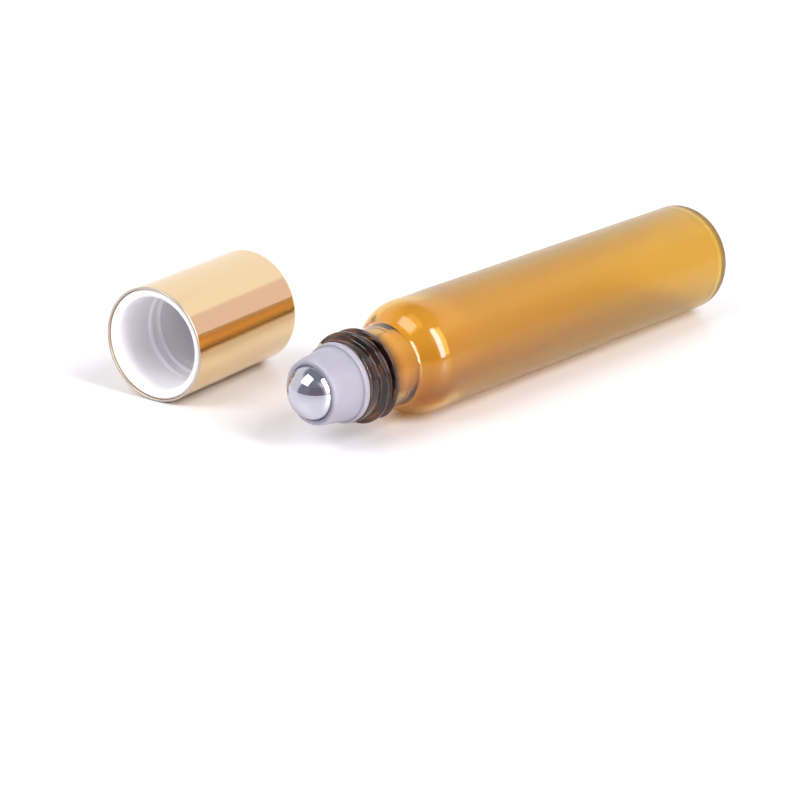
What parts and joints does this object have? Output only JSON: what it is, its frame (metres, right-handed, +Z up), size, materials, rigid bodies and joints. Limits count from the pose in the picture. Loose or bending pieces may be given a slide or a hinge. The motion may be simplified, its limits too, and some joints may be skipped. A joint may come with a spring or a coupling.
{
  "type": "roll-on bottle",
  "caption": "Slim amber glass roll-on bottle lying on its side, with a steel ball in a plastic insert and a gold screw cap laid beside it.",
  "frame": {"origin": "on the table, under the middle of the box round the lying bottle and the cap beside it", "axes": "+X along the bottle from its neck to its base, +Y from the bottle to the cap, +Z up"},
  "size_m": [0.1074, 0.06, 0.0203],
  "materials": {
    "amber_glass": "clear amber, glossy",
    "natural_polyethylene": "milky, soft gloss",
    "polished_steel": "mirror polished",
    "gold_aluminium": "bright gold anodised",
    "white_polypropylene": "smooth moulded white"
  },
  "bodies": {
    "bottle": {"glass_bottle": "amber_glass"},
    "insert": {"roller_insert": "natural_polyethylene"},
    "ball": {"roller_ball": "polished_steel"},
    "cap": {"cap_shell": "gold_aluminium", "cap_liner": "white_polypropylene"}
  },
  "joints": [
    {"name": "insert_pull", "type": "slide", "parent": "bottle", "child": "insert", "axis": [-1, 0, 0], "range_m": [0, 0.012]},
    {"name": "ball_roll", "type": "hinge", "parent": "insert", "child": "ball", "pos_m": [-0.04893, -0.02008, 0.01], "axis": [0, 1, 0], "continuous": true},
    {"name": "cap_turn", "type": "hinge", "parent": "bottle", "child": "cap", "pos_m": [-0.05072, 0.01632, 0.01015], "axis": [0.9912, 0.1323, 0], "continuous": true}
  ]
}
